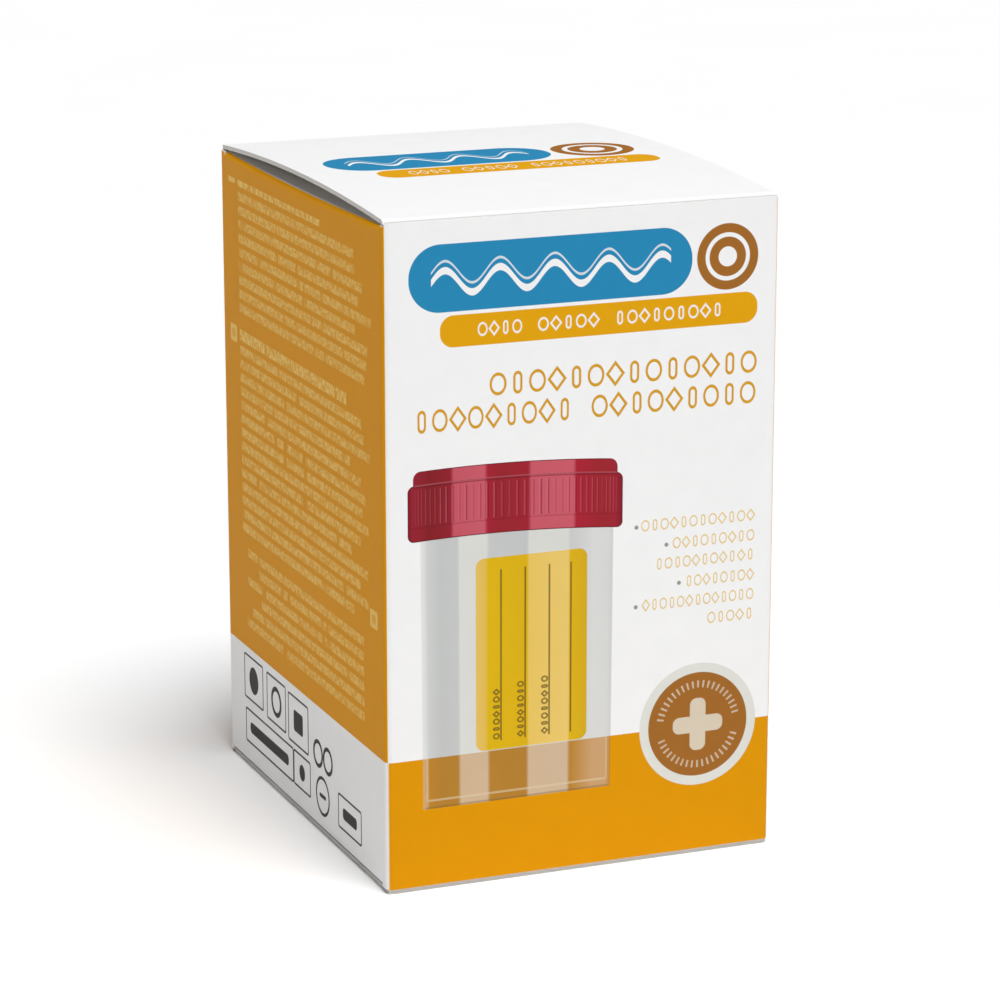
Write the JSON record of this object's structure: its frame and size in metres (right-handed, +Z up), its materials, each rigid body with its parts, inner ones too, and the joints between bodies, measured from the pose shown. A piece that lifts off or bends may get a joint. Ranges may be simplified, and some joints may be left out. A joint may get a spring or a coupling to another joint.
{
  "type": "folding carton with a specimen container",
  "caption": "Upright paperboard folding carton with hinged tuck lids at top and base, printed in white and ochre, holding a screw-capped specimen container with a spoon.",
  "frame": {"origin": "middle of the carton's base, on the surface that it stands on", "axes": "+Z up, the printed front faces -Y, the wider side panels face -X and +X"},
  "size_m": [0.047, 0.056, 0.077],
  "materials": {
    "printed_board": "satin",
    "jar_plastic": "satin",
    "label_film": "satin",
    "cap_plastic": "gloss",
    "spoon_plastic": "satin"
  },
  "bodies": {
    "carton": {"carton_sleeve": "printed_board", "jar": "jar_plastic", "jar_label": "label_film"},
    "top_lid": {"top_lid": "printed_board"},
    "bottom_lid": {"bottom_lid": "printed_board"},
    "cap": {"screw_cap": "cap_plastic", "spoon": "spoon_plastic"}
  },
  "joints": [
    {"name": "top_lid_hinge", "type": "hinge", "parent": "carton", "child": "top_lid", "pos_m": [0, 0.02775, 0.07575], "axis": [-1, 0, 0], "range_deg": [0, 150]},
    {"name": "bottom_lid_hinge", "type": "hinge", "parent": "carton", "child": "bottom_lid", "pos_m": [0, -0.02775, 0.00025], "axis": [-1, 0, 0], "range_deg": [0, 150]},
    {"name": "cap_turn", "type": "hinge", "parent": "carton", "child": "cap", "pos_m": [0, 0, 0.0632], "axis": [0, 0, 1], "range_deg": [0, 360]}
  ]
}
